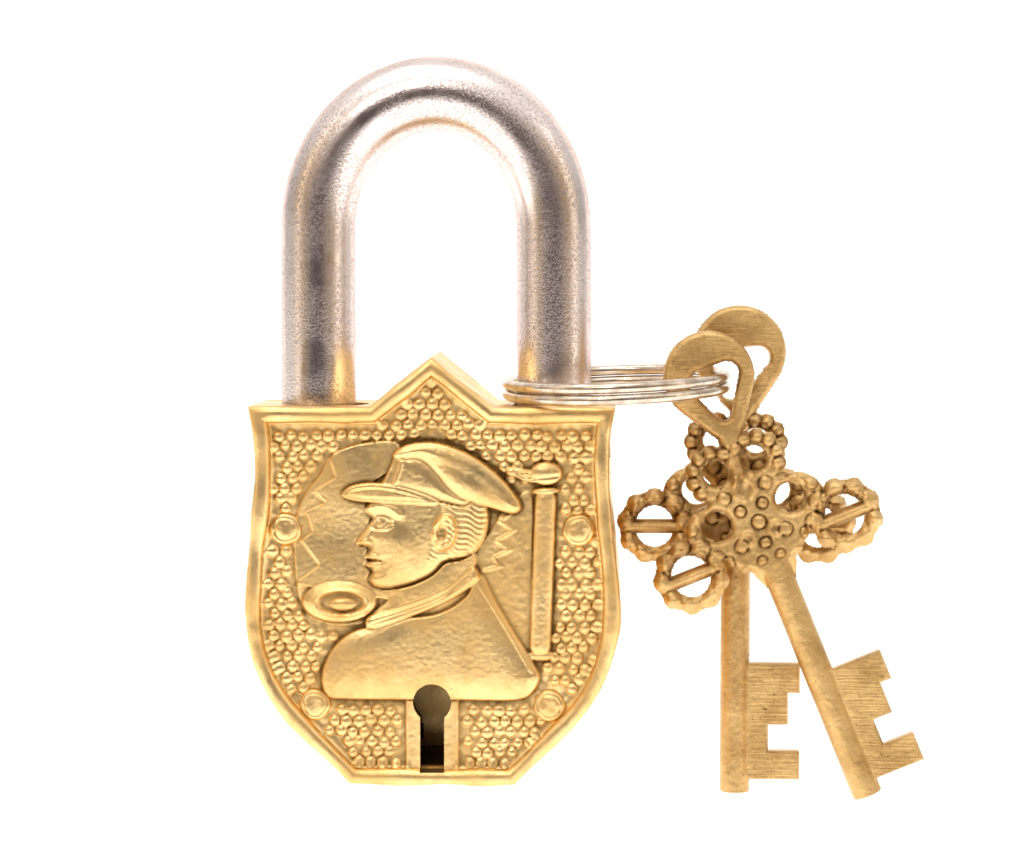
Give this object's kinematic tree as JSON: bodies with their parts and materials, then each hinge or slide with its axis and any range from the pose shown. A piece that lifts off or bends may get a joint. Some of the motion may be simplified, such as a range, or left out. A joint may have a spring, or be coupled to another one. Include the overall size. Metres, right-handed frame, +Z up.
{
  "type": "padlock",
  "caption": "Shield-shaped cast brass lever padlock with a relief front, hinged steel shackle, split ring and ornate bow keys.",
  "frame": {"origin": "inner crown of the shackle's bow, in the middle of its bar, where a staple or chain holds the closed padlock up", "axes": "+Z up from the case towards the crown, +X to the right seen from the front, -Y out of the relief front, +Y out of the back plate"},
  "size_m": [0.0907, 0.0308, 0.1],
  "materials": {
    "cast_brass": "cast and polished, darker in the recesses",
    "key_brass": "sand cast, dull and pitted",
    "lock_brass": "sawn and filed",
    "plated_steel": "bright nickel plate, slightly worn",
    "bright_steel": "turned",
    "nickel_wire": "nickel-plated wire"
  },
  "bodies": {
    "case": {"case_casting": "cast_brass", "back_plate": "cast_brass", "rivet_upper_left": "cast_brass", "rivet_upper_right": "cast_brass", "rivet_lower_left": "cast_brass", "rivet_lower_right": "cast_brass", "shackle_hinge_pin": "bright_steel", "heel_spacer": "lock_brass", "lever_pivot_post": "bright_steel", "lever_spacer": "lock_brass", "spring_anchor_post": "bright_steel", "bolt_guide_pin": "bright_steel", "lever_stop_pin": "bright_steel", "ward_plate": "lock_brass", "ward_post_left": "bright_steel", "ward_post_right": "bright_steel", "lever_spring_1": "bright_steel", "lever_spring_2": "bright_steel", "lever_spring_3": "bright_steel", "lever_spring_4": "bright_steel"},
    "shackle_bar": {"shackle": "plated_steel"},
    "bolt": {"lock_bolt": "lock_brass"},
    "lever_a": {"lever_1": "lock_brass"},
    "lever_b": {"lever_2": "lock_brass"},
    "lever_c": {"lever_3": "lock_brass"},
    "lever_d": {"lever_4": "lock_brass"},
    "ring": {"split_ring": "nickel_wire"},
    "first_key": {"key_front": "key_brass"},
    "second_key": {"key_back": "key_brass"}
  },
  "joints": [
    {"name": "shackle_swing", "type": "hinge", "parent": "case", "child": "shackle_bar", "pos_m": [0.0159, 0, -0.0455], "axis": [0, 1, 0], "range_deg": [0, 34]},
    {"name": "bolt_throw", "type": "slide", "parent": "case", "child": "bolt", "axis": [-1, 0, 0], "range_m": [0, 0.004]},
    {"name": "lever_1_lift", "type": "hinge", "parent": "case", "child": "lever_a", "pos_m": [0.0125, 0, -0.06], "axis": [0, 1, 0], "range_deg": [0, 6], "deforming": ["lever_spring_1"]},
    {"name": "lever_2_lift", "type": "hinge", "parent": "case", "child": "lever_b", "pos_m": [0.0125, 0, -0.06], "axis": [0, 1, 0], "range_deg": [0, 6], "deforming": ["lever_spring_2"]},
    {"name": "lever_3_lift", "type": "hinge", "parent": "case", "child": "lever_c", "pos_m": [0.0125, 0, -0.06], "axis": [0, 1, 0], "range_deg": [0, 6], "deforming": ["lever_spring_3"]},
    {"name": "lever_4_lift", "type": "hinge", "parent": "case", "child": "lever_d", "pos_m": [0.0125, 0, -0.06], "axis": [0, 1, 0], "range_deg": [0, 6], "deforming": ["lever_spring_4"]},
    {"name": "ring_level", "type": "hinge", "parent": "shackle_bar", "child": "ring", "pos_m": [0.00963, 0, -0.0347], "axis": [0, 1, 0], "range_deg": [-34, 0]},
    {"name": "key_front_swing", "type": "hinge", "parent": "ring", "child": "first_key", "pos_m": [0.03905, -0.0022, -0.03355], "axis": [0, -1, 0], "range_deg": [-9, 40]},
    {"name": "key_back_swing", "type": "hinge", "parent": "ring", "child": "second_key", "pos_m": [0.03905, 0.0022, -0.03355], "axis": [0, -1, 0], "range_deg": [0, 20]}
  ],
  "couplings": [
    {"joint": "lever_1_lift", "follows": "bolt_throw", "rad_per_m": 26.18},
    {"joint": "lever_2_lift", "follows": "bolt_throw", "rad_per_m": 26.18},
    {"joint": "lever_3_lift", "follows": "bolt_throw", "rad_per_m": 26.18},
    {"joint": "lever_4_lift", "follows": "bolt_throw", "rad_per_m": 26.18},
    {"joint": "ring_level", "follows": "shackle_swing", "ratio": -1}
  ]
}
